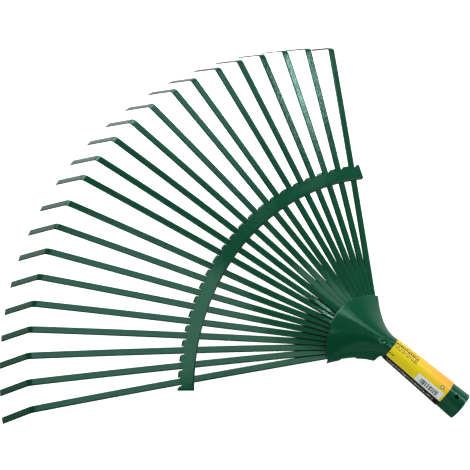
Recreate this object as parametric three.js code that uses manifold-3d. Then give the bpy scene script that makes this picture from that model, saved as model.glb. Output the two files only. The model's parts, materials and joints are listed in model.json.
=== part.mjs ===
// Head of a spring-tine leaf rake: a fan of flat spring-steel tines with down-turned tips, held by a
// folded spacer bar and by a pressed hub whose sheet rolls up into the handle socket.
//
// Millimetres. The fan is drawn in its own frame: the tines point away from the origin, X runs along
// the middle of the fan, Y across it and Z up from its outer face. At the end the whole head is tipped
// about Y until it stands on its lowest tips and on the rim of the socket, and is moved so that the
// origin is the middle of the underside of its bounding box.

import * as THREE from 'three';
import { mergeVertices } from 'three/addons/utils/BufferGeometryUtils.js';
import Module from 'manifold-3d';

// Tines
const TINE_COUNT = 22;
const TOP_TINE = 11; // lies over both of its neighbours; the others step down on either side of it
const TINE_WIDTH = 6.65;
const TINE_THICKNESS = 1.0;
const TINE_ROOT = 34; // distance of the inner end from the origin
const TANG_WIDTH = 4.4; // the inner end narrows to this,
const TANG_END = 47; // from this distance inwards
const REACH = 332.5; // distance of the tip bend on the middle line
const REACH_GROWTH = 6.9; // extra reach per squared radian away from the middle
const TIP_LENGTH = 58;
const TIP_BEND = THREE.MathUtils.degToRad(57.2);
const TIP_BEND_RADIUS = 7;

// Gaps between neighbouring tines, in degrees. Gap k lies between tine k and tine k + 1, and the hub
// grips some of the tines a little out of line.
const INNER_GAP = 4.6;
const OUTER_GAP = 4.33;
const INNER_GAPS_FROM = 6;
const INNER_GAPS_TO = 17;
const UNEVEN_GAPS = new Map([[6, 5.0], [7, 4.2], [8, 5.0], [12, 4.3], [13, 5.3]]);

// Shape of the fan: an arched surface that the tines follow
const CONE_DROP = 0.089; // slope away from the middle, in radians per squared radian of azimuth
const ROOT_DROP = 8.0; // fall at the origin, per squared radian of azimuth
const BOW = 14.0; // fall of the whole surface at REACH, growing with the square of the distance

// Near the hub the tines overlap like shingles, each one rolled a little about its own length.
const SHINGLE_STEP = 1.34; // height between the middles of neighbouring tines where they overlap
const SHINGLE_END = 94; // they overlap up to this distance
const TWIST_END = 150; // and lie flat in the fan from here on
const TOP_TINE_CLEARANCE = 0.1; // of the top tine over the edges of its neighbours

// Spacer bar: a strip folded over its outer edge, curved flatter than the fan
const BAR_CENTRE_X = -68.5;
const BAR_INNER = 232.7; // radius about BAR_CENTRE_X
const BAR_OUTER = 248.7;
const BAR_HALF_ANGLE = THREE.MathUtils.degToRad(37.6);
const BAR_SHEET = 1.0;
const BAR_FOLD = 1.3; // radius of the middle of the sheet in the fold
const WINDOW_WIDTH = 8.4;
const WINDOW_DEPTH = 3.4;
const WINDOW_CORNER = 1.0;
const WINDOW_CUT = 12; // size of the window's cutter, well past the fold

// Handle socket
const SOCKET_SLOPE = THREE.MathUtils.degToRad(9.2); // the socket falls this much towards its mouth
const SOCKET_LENGTH = 96.5; // from the origin to the mouth
const SOCKET_HEIGHT = 7.9; // of its axis above the origin
const NECK_DISTANCE = 8;
const NECK_RADIUS = 10.6; // middle of the sheet
const MOUTH_RADIUS = 13.4;
const SEAM_HALF_GAP = 0.03; // radians
const SCREW_HOLE_RADIUS = 2.3;
const SCREW_HOLE_FROM_MOUTH = 10.5;
const MOUTH_OVERRUN = 0.01; // share of the socket's length that is trimmed off square at the mouth

// Hub
const HUB_SHEET = 1.2;
const RIM_RADIUS = 52.3;
const RIM_GROWTH = 0.9; // extra radius at the corners of the rim
const RIM_HALF_ANGLE = THREE.MathUtils.degToRad(53);
const RIM_LIFT = 2.5; // height of the rim over the fan surface
const FLARE_POWER = 1.7; // how suddenly the sides flare out from the neck
const CREST_POWER = 1.25; // how the height changes from the neck to the rim
const RIDGE_SHARPNESS = 7;
const RIDGE_ROUNDING = 0.16;
const UNROLL_END = 0.15; // share of the hub's length over which the seam opens out

// Hub plate, under the tines, with its edges in the hub's folded tabs
const PLATE_SHEET = 1.0;
const PLATE_FROM = 0.3; // shares of the hub's length
const PLATE_TO = 0.965;
const PLATE_DROP = 3.7;
const PLATE_ARCH = 10.5; // fall of its sides
const PLATE_SIDE_GAP = 1.4;
const PLATE_EDGE = 0.999; // its edges stop just short of its full half width, where the hub's side is upright
const TAB_STEP = 1.5; // from the middle of the plate's sheet to the middle of a tab's
const TAB_REACH = 6;
const TAB_ROOT = 0.1; // how far a tab starts inside the hub's side
const TABS = [[0.2, 0.5], [0.8, 0.995]]; // along each side, as shares of the hub's length
const NOTCH_DEPTH = 3.8; // the foot of the side stands this much higher between the tabs
const NOTCH_RAMP = 0.02;

// Label sleeve round the socket
const LABEL_FROM = 0.012; // shares of the socket's length from the neck to the mouth
const LABEL_TO = 0.775;
const LABEL_SHEET = 0.3;
const LABEL_GAP = 0.3;
const LABEL_HALF_WRAP = THREE.MathUtils.degToRad(172);

const ENAMEL = { color: 0x1f5a3c, roughness: 0.32, metalness: 0.1 };
const PRINTED_PAPER = { color: 0xf2c81e, roughness: 0.45, metalness: 0 };

const { clamp, lerp, smoothstep, degToRad } = THREE.MathUtils;
const wasm = await Module();
wasm.setup();

// ---- Sheet metal --------------------------------------------------------------------------------

// Evenly spaced values from start to end.
function steps(start, end, count) {
  return Array.from({ length: count + 1 }, (_, i) => lerp(start, end, i / count));
}

function surfaceNormal(surface, s, w) {
  const step = 1e-3;
  const alongS = surface(s + step, w).sub(surface(s - step, w));
  const alongW = surface(s, w + step).sub(surface(s, w - step));
  return alongS.cross(alongW).normalize();
}

// A sheet of even thickness on both sides of the surface point(s, w), closed along its four edges.
function sheet(surface, along, across, thickness) {
  const positions = [];
  for (const side of [0.5, -0.5]) {
    for (const s of along) {
      for (const w of across) {
        const point = surface(s, w).addScaledVector(surfaceNormal(surface, s, w), side * thickness);
        positions.push(point.x, point.y, point.z);
      }
    }
  }
  const rows = along.length;
  const columns = across.length;
  const skin = rows * columns;
  const indices = [];
  const quad = (a, b, c, d) => indices.push(a, b, c, a, c, d);
  for (let i = 0; i < rows - 1; i += 1) {
    for (let j = 0; j < columns - 1; j += 1) {
      const a = i * columns + j;
      quad(a, a + columns, a + columns + 1, a + 1);
      quad(skin + a, skin + a + 1, skin + a + columns + 1, skin + a + columns);
    }
    const left = i * columns;
    const right = left + columns - 1;
    quad(left, skin + left, skin + left + columns, left + columns);
    quad(right, right + columns, skin + right + columns, skin + right);
  }
  for (let j = 0; j < columns - 1; j += 1) {
    const last = (rows - 1) * columns + j;
    quad(j, j + 1, skin + j + 1, skin + j);
    quad(last, skin + last, skin + last + 1, last + 1);
  }
  const geometry = new THREE.BufferGeometry();
  geometry.setAttribute('position', new THREE.Float32BufferAttribute(positions, 3));
  geometry.setIndex(indices);
  return geometry;
}

// ---- Joining and cutting ------------------------------------------------------------------------

function toSolid(geometry) {
  const bare = geometry.clone();
  bare.deleteAttribute('normal');
  bare.deleteAttribute('uv');
  const merged = mergeVertices(bare, 1e-4);
  const vertProperties = new Float32Array(merged.attributes.position.array);
  const triVerts = new Uint32Array(merged.index.array);
  return new wasm.Manifold(new wasm.Mesh({ numProp: 3, vertProperties, triVerts }));
}

function toGeometry(solid) {
  const { vertProperties, triVerts } = solid.getMesh();
  const geometry = new THREE.BufferGeometry();
  geometry.setAttribute('position', new THREE.BufferAttribute(new Float32Array(vertProperties), 3));
  geometry.setIndex(new THREE.BufferAttribute(new Uint32Array(triVerts), 1));
  return geometry;
}

function joinAll(geometry, additions) {
  return toGeometry(additions.reduce((solid, extra) => solid.add(toSolid(extra)), toSolid(geometry)));
}

function cutAll(geometry, cutters) {
  return toGeometry(cutters.reduce((solid, cutter) => solid.subtract(toSolid(cutter)), toSolid(geometry)));
}

// ---- The fan surface ----------------------------------------------------------------------------

function fanPoint(radius, azimuth) {
  const drop = CONE_DROP * azimuth ** 2;
  const flat = radius * Math.cos(drop);
  const fall = radius * Math.sin(drop) + ROOT_DROP * azimuth ** 2 + BOW * (radius / REACH) ** 2;
  return new THREE.Vector3(flat * Math.cos(azimuth), flat * Math.sin(azimuth), -fall);
}

// How steeply the fan falls sideways, away from the middle.
function sideSlope(radius, azimuth) {
  return 2 * azimuth * (CONE_DROP + ROOT_DROP / radius);
}

// ---- Tines --------------------------------------------------------------------------------------

function gapAfter(tine) {
  const inner = tine >= INNER_GAPS_FROM && tine <= INNER_GAPS_TO;
  return UNEVEN_GAPS.get(tine) ?? (inner ? INNER_GAP : OUTER_GAP);
}

// Azimuths of all tines, the fan's middle at zero.
function tineAzimuths() {
  const azimuths = [0];
  for (let tine = 1; tine < TINE_COUNT; tine += 1) {
    azimuths.push(azimuths[tine - 1] + degToRad(gapAfter(tine)));
  }
  const middle = azimuths[TINE_COUNT - 1] / 2;
  return azimuths.map((azimuth) => azimuth - middle);
}

// Slope at which overlapping neighbours just clear each other, fading out beyond the overlap.
function shingleSlope(radius) {
  const overlap = 1 - smoothstep(radius, SHINGLE_END, TWIST_END);
  return (overlap * SHINGLE_STEP) / (radius * degToRad(INNER_GAP));
}

// Sideways slope of a tine: that of the fan, turned back towards level where the tines overlap.
function tineSlope(tine, radius, azimuth) {
  const outerSlope = sideSlope(REACH, azimuth);
  if (tine === TOP_TINE) {
    return -outerSlope;
  }
  const side = tine > TOP_TINE ? 1 : -1;
  const overlap = 1 - smoothstep(radius, SHINGLE_END, TWIST_END);
  const levelling = overlap * (outerSlope - sideSlope(radius, azimuth));
  return side * shingleSlope(radius) - outerSlope + levelling;
}

function tineLift(tine, radius) {
  return tine === TOP_TINE ? shingleSlope(radius) * (TINE_WIDTH / 2) + TOP_TINE_CLEARANCE : 0;
}

function tineWidth(radius) {
  return lerp(TANG_WIDTH, TINE_WIDTH, smoothstep(radius, TINE_ROOT, TANG_END));
}

// Middle line of a straight tine, its direction, its width direction and its upward normal.
function tineFrame(tine, radius, azimuth) {
  const origin = fanPoint(radius, azimuth);
  origin.z += tineLift(tine, radius);
  const along = fanPoint(radius + 1, azimuth).sub(fanPoint(radius - 1, azimuth)).normalize();
  const slope = tineSlope(tine, radius, azimuth);
  const across = new THREE.Vector3(-Math.sin(azimuth), Math.cos(azimuth), slope);
  across.addScaledVector(along, -across.dot(along)).normalize();
  const up = along.clone().cross(across);
  return { origin, along, across, up };
}

// Point at distance s along the strip and share w of its half width. The strip runs straight to the
// bend, round an arc, and straight on to the tip.
function tineSurface(tine, azimuth) {
  const corner = REACH + REACH_GROWTH * azimuth ** 2;
  const bendStart = corner - TIP_BEND_RADIUS * Math.tan(TIP_BEND / 2);
  const bend = tineFrame(tine, bendStart, azimuth);
  return (s, w) => {
    const radius = Math.min(TINE_ROOT + s, bendStart);
    const { origin, across } = radius < bendStart ? tineFrame(tine, radius, azimuth) : bend;
    const beyond = TINE_ROOT + s - radius;
    const angle = Math.min(beyond / TIP_BEND_RADIUS, TIP_BEND);
    const straight = beyond - angle * TIP_BEND_RADIUS;
    const forward = TIP_BEND_RADIUS * Math.sin(angle) + straight * Math.cos(angle);
    const down = TIP_BEND_RADIUS * (1 - Math.cos(angle)) + straight * Math.sin(angle);
    return origin.clone()
      .addScaledVector(bend.along, forward)
      .addScaledVector(bend.up, -down)
      .addScaledVector(across, (w * tineWidth(radius)) / 2);
  };
}

function tineGeometry(tine, azimuth) {
  const corner = REACH + REACH_GROWTH * azimuth ** 2;
  const setback = TIP_BEND_RADIUS * Math.tan(TIP_BEND / 2);
  const bendStart = corner - setback - TINE_ROOT;
  const bendEnd = bendStart + TIP_BEND * TIP_BEND_RADIUS;
  const along = [
    ...steps(0, SHINGLE_END - TINE_ROOT, 6),
    ...steps(SHINGLE_END - TINE_ROOT, TWIST_END - TINE_ROOT, 6).slice(1),
    ...steps(TWIST_END - TINE_ROOT, bendStart, 5).slice(1),
    ...steps(bendStart, bendEnd, 5).slice(1),
    bendEnd + TIP_LENGTH - setback,
  ];
  return sheet(tineSurface(tine, azimuth), along, [-1, 1], TINE_THICKNESS);
}

// ---- Spacer bar ---------------------------------------------------------------------------------

// Azimuth and distance from the origin of a point of the bar, and the fan surface there.
function barPoint(barRadius, angle) {
  const x = BAR_CENTRE_X + barRadius * Math.cos(angle);
  const y = barRadius * Math.sin(angle);
  return fanPoint(Math.hypot(x, y), Math.atan2(y, x));
}

// The folded sheet: w runs from the lower inner edge (-1) round the fold (0) to the upper inner edge.
function barSurface(angle, w) {
  const foldCentre = BAR_OUTER - BAR_FOLD - BAR_SHEET / 2;
  const flat = foldCentre - BAR_INNER;
  const halfFold = (Math.PI / 2) * BAR_FOLD;
  const fromFold = Math.abs(w) * (flat + halfFold);
  const turn = Math.min(fromFold / BAR_FOLD, Math.PI / 2);
  const inward = Math.max(fromFold - halfFold, 0);
  const barRadius = foldCentre + BAR_FOLD * Math.cos(turn) - inward;
  const height = Math.sign(w) * BAR_FOLD * Math.sin(turn);
  const step = 0.5;
  const turnStep = step / barRadius;
  const outward = barPoint(barRadius + step, angle).sub(barPoint(barRadius - step, angle));
  const sideways = barPoint(barRadius, angle + turnStep).sub(barPoint(barRadius, angle - turnStep));
  const up = outward.cross(sideways).normalize();
  return barPoint(barRadius, angle).addScaledVector(up, height);
}

// Where a tine passes through the fold: a window with rounded inner corners, square to the tine.
function windowCutter(azimuth) {
  const half = WINDOW_WIDTH / 2;
  const outline = new THREE.Shape();
  outline.moveTo(WINDOW_CUT, -half);
  outline.lineTo(WINDOW_CUT, half);
  outline.lineTo(WINDOW_CORNER, half);
  outline.absarc(WINDOW_CORNER, half - WINDOW_CORNER, WINDOW_CORNER, Math.PI / 2, Math.PI, false);
  outline.lineTo(0, WINDOW_CORNER - half);
  outline.absarc(WINDOW_CORNER, WINDOW_CORNER - half, WINDOW_CORNER, Math.PI, 1.5 * Math.PI, false);
  outline.closePath();
  const extrusion = { depth: WINDOW_CUT, bevelEnabled: false, curveSegments: 2 };
  const cutter = new THREE.ExtrudeGeometry(outline, extrusion);
  const sideShift = -BAR_CENTRE_X * Math.sin(azimuth);
  const distance = Math.sqrt(BAR_OUTER ** 2 - sideShift ** 2) + BAR_CENTRE_X * Math.cos(azimuth);
  const centre = fanPoint(distance, azimuth);
  const across = new THREE.Vector3(-Math.sin(azimuth), Math.cos(azimuth), -sideSlope(distance, azimuth));
  const forward = new THREE.Vector3(Math.cos(azimuth), Math.sin(azimuth), 0);
  const up = forward.clone().cross(across).normalize();
  across.crossVectors(up, forward);
  const start = centre.addScaledVector(forward, -WINDOW_DEPTH).addScaledVector(up, -WINDOW_CUT / 2);
  const placing = new THREE.Matrix4().makeBasis(forward, across, up).setPosition(start);
  return cutter.applyMatrix4(placing);
}

function spacerBarGeometry(azimuths) {
  const flat = BAR_OUTER - BAR_FOLD - BAR_SHEET / 2 - BAR_INNER;
  const foldShare = ((Math.PI / 2) * BAR_FOLD) / (flat + (Math.PI / 2) * BAR_FOLD);
  const across = [-1, ...steps(-foldShare, foldShare, 6), 1];
  const strip = sheet(barSurface, steps(-BAR_HALF_ANGLE, BAR_HALF_ANGLE, 44), across, BAR_SHEET);
  return cutAll(strip, azimuths.map(windowCutter));
}

// ---- Hub and socket -----------------------------------------------------------------------------

const socketAxis = new THREE.Vector3(-Math.cos(SOCKET_SLOPE), 0, -Math.sin(SOCKET_SLOPE));
const socketUp = new THREE.Vector3(-Math.sin(SOCKET_SLOPE), 0, Math.cos(SOCKET_SLOPE));

// Point on the socket's sheet: share from the neck (0) to the mouth (1), turned from its top line.
function socketPoint(share, turn, offset = 0) {
  const distance = lerp(NECK_DISTANCE, SOCKET_LENGTH, share);
  const radius = lerp(NECK_RADIUS, MOUTH_RADIUS, share) + offset;
  return new THREE.Vector3(0, radius * Math.sin(turn), SOCKET_HEIGHT)
    .addScaledVector(socketAxis, distance)
    .addScaledVector(socketUp, radius * Math.cos(turn));
}

// Plan of the rim, as a share of its half width.
function rimPoint(share) {
  const azimuth = RIM_HALF_ANGLE * share;
  const radius = RIM_RADIUS + RIM_GROWTH * share ** 2;
  const onFan = fanPoint(radius, azimuth);
  return new THREE.Vector3(radius * Math.cos(azimuth), radius * Math.sin(azimuth), onFan.z + RIM_LIFT);
}

// The plate follows the undersides of the tines; share is its half width's.
function plateHeight(share) {
  return -PLATE_DROP - PLATE_ARCH * share ** 2;
}

// Height of the foot of the hub's sides, level with the tabs and notched between them.
function footHeight(v) {
  const [, notchFrom] = TABS[0];
  const [notchTo] = TABS[1];
  const notch = smoothstep(v, notchFrom, notchFrom + NOTCH_RAMP) - smoothstep(v, notchTo - NOTCH_RAMP, notchTo);
  return plateHeight(1) - TAB_STEP + NOTCH_DEPTH * notch;
}

// Upper part of the hub, from its top line (turn 0) to its sides (turn a quarter).
function crown(v, turn) {
  const neck = socketPoint(0, turn);
  const rim = rimPoint(Math.sin(turn));
  const crest = v ** CREST_POWER;
  const sharpening = RIDGE_SHARPNESS * v * (1 - v);
  const tent = 1 - Math.hypot(Math.sin(turn), RIDGE_ROUNDING) + RIDGE_ROUNDING;
  return new THREE.Vector3(
    lerp(neck.x, rim.x, v),
    lerp(neck.y, rim.y, v ** FLARE_POWER),
    lerp(neck.z, rim.z, crest) + sharpening * (tent - Math.cos(turn)),
  );
}

// Lower part: the socket's underside opens along its seam and unrolls into the sides.
function flank(v, turn) {
  const side = crown(v, (Math.sign(turn) * Math.PI) / 2);
  const neck = socketPoint(0, turn);
  const rolled = 1 - smoothstep(v, 0, UNROLL_END);
  const neckBottom = socketPoint(0, Math.PI).z;
  const bottom = lerp(footHeight(v), neckBottom, rolled);
  return new THREE.Vector3(
    side.x + (neck.x - socketPoint(0, Math.PI / 2).x) * rolled,
    side.y * (1 - (1 - Math.abs(Math.sin(turn))) * rolled),
    side.z + (bottom - side.z) * Math.abs(Math.cos(turn)),
  );
}

// The whole pressed sheet: v runs from the mouth (-1) by the neck (0) to the rim (1).
function hubSurface(v, turn) {
  if (v < 0) {
    return socketPoint(-v, turn);
  }
  return Math.abs(turn) <= Math.PI / 2 ? crown(v, turn) : flank(v, turn);
}

// A tab folded in under the plate.
function tabGeometry(side, [from, to]) {
  const surface = (v, w) => {
    const foot = flank(v, side * Math.PI);
    foot.y -= side * (w * TAB_REACH - HUB_SHEET / 2 + TAB_ROOT);
    return foot;
  };
  return sheet(surface, steps(from, to, 6), [0, 1], PLATE_SHEET);
}

function screwHoleCutter() {
  const cutter = new THREE.CylinderGeometry(SCREW_HOLE_RADIUS, SCREW_HOLE_RADIUS, MOUTH_RADIUS, 24);
  const share = 1 - SCREW_HOLE_FROM_MOUTH / (SOCKET_LENGTH - NECK_DISTANCE);
  const placing = new THREE.Matrix4()
    .makeBasis(socketUp.clone().cross(socketAxis), socketUp, socketAxis)
    .setPosition(socketPoint(share, 0));
  return cutter.applyMatrix4(placing);
}

// Squares the mouth off flat.
function mouthCutter() {
  const size = 4 * MOUTH_RADIUS;
  const cutter = new THREE.BoxGeometry(size, size, size);
  const centre = new THREE.Vector3(0, 0, SOCKET_HEIGHT).addScaledVector(socketAxis, SOCKET_LENGTH + size / 2);
  const placing = new THREE.Matrix4()
    .makeBasis(socketUp.clone().cross(socketAxis), socketUp, socketAxis)
    .setPosition(centre);
  return cutter.applyMatrix4(placing);
}

function hubShellGeometry() {
  const [[, notchFrom], [notchTo]] = TABS;
  const along = [
    -1 - MOUTH_OVERRUN, -0.6, -0.3,
    ...steps(0, notchFrom, 11),
    ...steps(notchFrom + NOTCH_RAMP, notchTo - NOTCH_RAMP, 5),
    ...steps(notchTo, 1, 4),
  ];
  const end = Math.PI - SEAM_HALF_GAP;
  const quarter = Math.PI / 2;
  const across = [
    ...steps(-end, -quarter, 7),
    ...steps(-quarter, quarter, 22).slice(1),
    ...steps(quarter, end, 7).slice(1),
  ];
  const shell = sheet(hubSurface, along, across, HUB_SHEET);
  const tabs = TABS.flatMap((range) => [tabGeometry(1, range), tabGeometry(-1, range)]);
  return cutAll(joinAll(shell, tabs), [screwHoleCutter(), mouthCutter()]);
}

function hubPlateGeometry() {
  const surface = (v, w) => {
    const turn = Math.asin(clamp(w, -1, 1));
    const edge = crown(v, Math.PI / 2).y;
    const point = crown(v, turn);
    return new THREE.Vector3(point.x, point.y * (1 - PLATE_SIDE_GAP / edge), plateHeight(w));
  };
  return sheet(surface, steps(PLATE_FROM, PLATE_TO, 8), steps(-PLATE_EDGE, PLATE_EDGE, 16), PLATE_SHEET);
}

function labelGeometry() {
  const offset = HUB_SHEET / 2 + LABEL_GAP + LABEL_SHEET / 2;
  const surface = (share, turn) => socketPoint(share, turn, offset);
  return sheet(surface, [LABEL_FROM, LABEL_TO], steps(-LABEL_HALF_WRAP, LABEL_HALF_WRAP, 40), LABEL_SHEET);
}

// ---- Assembly -----------------------------------------------------------------------------------

function addPart(group, name, geometry, finish) {
  const mesh = new THREE.Mesh(geometry, new THREE.MeshStandardMaterial(finish));
  mesh.name = name;
  group.add(mesh);
  return mesh;
}

const head = new THREE.Group();
const azimuths = tineAzimuths();
const tines = azimuths.map((azimuth, index) => {
  const name = `tine_${String(index + 1).padStart(2, '0')}`;
  return addPart(head, name, tineGeometry(index + 1, azimuth), ENAMEL);
});
const hubShell = addPart(head, 'hub_shell', hubShellGeometry(), ENAMEL);
addPart(head, 'hub_plate', hubPlateGeometry(), ENAMEL);
addPart(head, 'spacer_bar', spacerBarGeometry(azimuths), ENAMEL);
addPart(head, 'label_sleeve', labelGeometry(), PRINTED_PAPER);

// Lowest point of some meshes with the head tipped by an angle about Y.
function lowestPoint(meshes, tip) {
  const turn = new THREE.Matrix4().makeRotationY(tip);
  const lowest = new THREE.Vector3(0, 0, Infinity);
  const point = new THREE.Vector3();
  for (const { geometry } of meshes) {
    const { position } = geometry.attributes;
    for (let i = 0; i < position.count; i += 1) {
      point.fromBufferAttribute(position, i).applyMatrix4(turn);
      if (point.z < lowest.z) {
        lowest.copy(point);
      }
    }
  }
  return lowest;
}

// Angle at which the lowest tips and the rim of the socket stand on one level.
function restingTip() {
  const rounds = 12;
  let tip = 0;
  for (let round = 0; round < rounds; round += 1) {
    const front = lowestPoint(tines, tip);
    const back = lowestPoint([hubShell], tip);
    tip += Math.atan2(front.z - back.z, front.x - back.x);
  }
  return tip;
}

head.rotation.y = restingTip();
head.updateMatrixWorld(true);
const box = new THREE.Box3().setFromObject(head, true);
const middle = box.getCenter(new THREE.Vector3());
head.position.set(-middle.x, -middle.y, -box.min.z);

export default head;
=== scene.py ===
"""Head of a spring-tine leaf rake: enamelled flat tines, folded spacer bar, pressed hub and label.

The file is a Blender add-on that is run as a script. Each piece is a numpy surface in the head's
own frame, in millimetres: X along the middle of the fan, Y across it and Z up from its outer face.
to_row() turns such points into metres of the row frame, where the head stands on its lowest tips.
"""

import json
from math import atan2, cos, pi, radians, sin, sqrt, tan

import bpy
import numpy as np
from bpy.props import FloatProperty, FloatVectorProperty, PointerProperty
from mathutils import Matrix, Vector


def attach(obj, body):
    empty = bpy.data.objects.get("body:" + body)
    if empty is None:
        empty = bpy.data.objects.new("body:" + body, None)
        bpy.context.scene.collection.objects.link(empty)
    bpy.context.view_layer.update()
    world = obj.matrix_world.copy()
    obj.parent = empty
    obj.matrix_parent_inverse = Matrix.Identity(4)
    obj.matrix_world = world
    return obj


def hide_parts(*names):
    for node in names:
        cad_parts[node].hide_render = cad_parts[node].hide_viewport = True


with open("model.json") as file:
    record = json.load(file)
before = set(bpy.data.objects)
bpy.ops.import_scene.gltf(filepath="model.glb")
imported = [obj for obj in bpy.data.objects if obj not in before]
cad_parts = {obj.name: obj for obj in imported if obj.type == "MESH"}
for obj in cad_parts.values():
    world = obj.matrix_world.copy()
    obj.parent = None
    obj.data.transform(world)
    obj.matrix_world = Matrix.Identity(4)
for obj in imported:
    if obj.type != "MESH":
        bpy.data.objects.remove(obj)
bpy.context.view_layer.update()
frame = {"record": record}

bl_info = {
    "name": "Leaf Rake Head",
    "version": (1, 0, 0),
    "blender": (4, 5, 0),
    "location": "View3D > Sidebar > Leaf Rake",
    "description": "Builds the pieces of a leaf rake head around its packed frame",
    "category": "Add Mesh",
}

MM = 0.001

# Tines
TINE_COUNT = 22
TOP_TINE = 11  # lies over both of its neighbours; the others step down on either side of it
TINE_ROOT = 34.0
TANG_WIDTH = 4.4
TANG_END = 47.0
REACH = 332.5
REACH_GROWTH = 6.9
TIP_LENGTH = 58.0
TIP_BEND = radians(57.2)
TIP_BEND_RADIUS = 7.0
INNER_GAP = 4.6
OUTER_GAP = 4.33
INNER_GAPS = range(6, 18)
UNEVEN_GAPS = {6: 5.0, 7: 4.2, 8: 5.0, 12: 4.3, 13: 5.3}

# The arched fan surface
CONE_DROP = 0.089
ROOT_DROP = 8.0
BOW = 14.0
SHINGLE_STEP = 1.34
SHINGLE_END = 94.0
TWIST_END = 150.0
TOP_TINE_CLEARANCE = 0.1
FLAT_INSET = 0.25  # a line this far inside a tine's shoulders keeps its faces flat between them
END_ROUND = 0.35
SHOULDER_STEPS = 9
EDGE_SHADE_FROM, EDGE_SHADE_TO = 0.6, 0.76  # shares of the half width over which the painted edge shade comes in

# Spacer bar
BAR_CENTRE_X = -68.5
BAR_INNER = 232.7
BAR_OUTER = 248.7
BAR_HALF_ANGLE = radians(37.6)
BAR_FOLD = 1.3
WINDOW_WIDTH = 8.4
WINDOW_DEPTH = 3.4
WINDOW_CORNER = 1.0
TOOTH_ROUND = 1.3
WINDOW_CUT = 12.0

# Socket and hub
SOCKET_SLOPE = radians(9.2)
SOCKET_LENGTH = 96.5
SOCKET_HEIGHT = 7.9
NECK_DISTANCE = 8.0
NECK_RADIUS = 10.6
MOUTH_RADIUS = 13.4
SEAM_HALF_GAP = 0.03
SCREW_HOLE_RADIUS = 2.3
SCREW_HOLE_FROM_MOUTH = 10.5
HUB_SHEET = 1.2
RIM_RADIUS = 52.3
RIM_GROWTH = 0.9
RIM_HALF_ANGLE = radians(53)
RIM_LIFT = 2.5
FLARE_POWER = 1.7
CREST_POWER = 1.25
RIDGE_SHARPNESS = 7.0
RIDGE_ROUNDING = 0.11
UNROLL_END = 0.15

# Hub plate and the tabs that hold it
PLATE_SHEET = 1.0
PLATE_FROM = 0.3
PLATE_TO = 0.965
PLATE_DROP = 3.7
PLATE_ARCH = 10.5
PLATE_SIDE_GAP = 1.4
PLATE_EDGE = 0.999
TAB_STEP = 1.5
TAB_REACH = 6.0
TAB_ROOT = 0.1
TABS = ((0.2, 0.5), (0.8, 0.995))
DIMPLE_PLACE = (0.15, radians(8))
DIMPLE_SIZE = (0.035, radians(11))
NOTCH_DEPTH = 3.8
NOTCH_RAMP = 0.02

# Label sleeve
LABEL_FROM = 0.012
LABEL_TO = 0.775
LABEL_SHEET = 0.3
LABEL_GAP = 0.3
LABEL_HALF_WRAP = radians(172)

# Print on the label: x along the socket from the neck, y round it from its top line
FADE_LEAN = 0.2
FADE_FROM = 2.0
FADE_TO = 22.0
TEXT_SPAN = (1.5, 29.0)
TEXT_ROWS = ((-8.6, -7.2, 0.42), (-6.2, -3.6, 0.4), (-2.5, -1.3, 0.42), (-0.3, 0.9, 0.44))
SMALL_MARKS = (0.8, 8.0, 8.2, 9.6)
PANEL = (36.0, 66.5, 5.6, 14.6)
BARS = (40.5, 61.5, 7.8, 13.0)
BAND = (14.3, 30.0)
BAND_END = 200.0
BAND_MARKS = (4.0, 62.0, 17.2, 19.2)
ROUND_MARK = (61.5, 1.9)
ROUND_MARK_RADIUS = 1.9

# Mesh steps, and the lengths over which a hub's and a plate's edges close, as shares of their runs
TINE_STEPS = (90, 15, 14)  # out over the fan, round the bend and down the tip
BAR_STEPS = (180, 26, 17)  # along the bar, across its leaves and round its fold
HUB_STEPS = (120, 150)
PLATE_STEPS = (30, 50)
LABEL_STEPS = (60, 90)
TAB_STEPS = (12, 6)
HUB_EDGES = (0.007, 0.05)
PLATE_EDGES = 0.012
SHARP_ANGLE = radians(38)

# Distances from an edge between which the painted shade fades out
BAR_EDGE_SHADE = (0.5, 1.5)
HUB_FOOT_SHADE = (0.4, 2.2)

# Stage, in metres: each soft box has its azimuth and elevation in degrees, side, radiance and tone
LAMP_DISTANCE = 6.0
FLOOR_HALF_SIDE = 9.0
SOFT_TONE = (0.88, 1.0, 0.95)
LAMPS = (
    ("left_box", -50, 28, 4.0, 5.0, SOFT_TONE),
    ("right_box", 66, 30, 4.0, 5.0, SOFT_TONE),
    ("overhead_box", -100, 86, 2.8, 1.7, SOFT_TONE),
    ("back_wall", 180, 26, 6.0, 0.38, SOFT_TONE),
    ("ridge_strip", 42, 53, 1.1, 2.8, SOFT_TONE),
    ("front_window", 19, 54, 1.7, 1.6, (0.72, 1.0, 0.95)),
    ("front_spark", 0.5, 41.8, 0.42, 22.0, (0.85, 1.0, 1.0)),
)


# ---- What a user may change ---------------------------------------------------------------------


def colour(code):
    """Linear colour of an sRGB hex value such as '#1f5a3c'."""
    shares = np.array([int(code[i : i + 2], 16) for i in (1, 3, 5)]) / 255
    linear = np.where(shares <= 0.04045, shares / 12.92, ((shares + 0.055) / 1.055) ** 2.4)
    return tuple(float(share) for share in linear)


def length(name, description, size):
    """A length property; size is in millimetres."""
    size_m = size * MM
    return FloatProperty(name=name, description=description, default=size_m, unit="LENGTH", precision=5)


def tint(name, description, code):
    """A colour property; code is its sRGB hex value."""
    return FloatVectorProperty(
        name=name, description=description, default=colour(code), subtype="COLOR", size=3, min=0, max=1
    )


class RakeSizes(bpy.types.PropertyGroup):
    tine_width: length("Tine width", "Width of the flat tines", 6.65)
    tine_thickness: length("Tine thickness", "Thickness of the flat tines", 1.0)
    tine_shoulder: length("Tine shoulder", "Width over which a tine's edge rounds off", 0.95)
    bar_sheet: length("Bar sheet", "Thickness of the spacer bar's sheet", 1.0)
    dimple_depth: length("Dimple depth", "Depth of the dent in the ridge by the neck", 1.3)


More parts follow.
